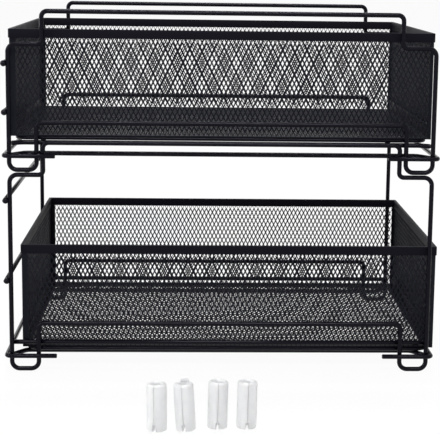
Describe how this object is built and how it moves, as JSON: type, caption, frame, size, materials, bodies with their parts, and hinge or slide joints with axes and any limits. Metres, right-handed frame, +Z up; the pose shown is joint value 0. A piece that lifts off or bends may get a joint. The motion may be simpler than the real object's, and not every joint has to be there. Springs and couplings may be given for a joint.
{
  "type": "under sink organizer",
  "caption": "Stacking black wire organizer with sliding open-top mesh baskets on runner wires, with loose translucent split sleeves that join the tiers.",
  "frame": {"origin": "centre of the whole part's box, at floor level", "axes": "+X towards the open end where the baskets slide out, +Y away from the side with the loose sleeves, +Z up"},
  "size_m": [0.4218, 0.4959, 0.3507],
  "materials": {
    "coated_wire": "satin black",
    "coated_mesh": "satin black",
    "sleeve_plastic": "translucent white"
  },
  "bodies": {
    "lower_frame": {"lower_near_side_loop": "coated_wire", "lower_far_side_loop": "coated_wire", "lower_near_side_bar": "coated_wire", "lower_far_side_bar": "coated_wire", "lower_near_runner_rail": "coated_wire", "lower_far_runner_rail": "coated_wire", "lower_back_bottom_tie": "coated_wire", "lower_back_middle_tie": "coated_wire", "lower_back_top_tie": "coated_wire", "lower_front_bottom_tie": "coated_wire", "sleeve_1": "sleeve_plastic", "sleeve_2": "sleeve_plastic", "sleeve_3": "sleeve_plastic", "sleeve_4": "sleeve_plastic"},
    "upper_frame": {"upper_near_side_loop": "coated_wire", "upper_far_side_loop": "coated_wire", "upper_near_side_bar": "coated_wire", "upper_far_side_bar": "coated_wire", "upper_near_runner_rail": "coated_wire", "upper_far_runner_rail": "coated_wire", "upper_back_bottom_tie": "coated_wire", "upper_back_middle_tie": "coated_wire", "upper_back_top_tie": "coated_wire", "upper_front_bottom_tie": "coated_wire"},
    "lower_basket": {"lower_basket_floor": "coated_mesh", "lower_basket_near_wall": "coated_mesh", "lower_basket_far_wall": "coated_mesh", "lower_basket_back_wall": "coated_mesh", "lower_basket_front_wall": "coated_mesh", "lower_basket_rim": "coated_mesh", "lower_basket_base_wire": "coated_wire"},
    "upper_basket": {"upper_basket_floor": "coated_mesh", "upper_basket_near_wall": "coated_mesh", "upper_basket_far_wall": "coated_mesh", "upper_basket_back_wall": "coated_mesh", "upper_basket_front_wall": "coated_mesh", "upper_basket_rim": "coated_mesh", "upper_basket_base_wire": "coated_wire"}
  },
  "joints": [
    {"name": "lower_basket_slide", "type": "slide", "parent": "lower_frame", "child": "lower_basket", "axis": [1, 0, 0], "range_m": [-0.009, 0.28]},
    {"name": "upper_basket_slide", "type": "slide", "parent": "upper_frame", "child": "upper_basket", "axis": [1, 0, 0], "range_m": [0, 0.28]},
    {"name": "upper_tier_lift", "type": "slide", "parent": "lower_frame", "child": "upper_frame", "axis": [0, 0, 1], "range_m": [0, 0.06]}
  ]
}
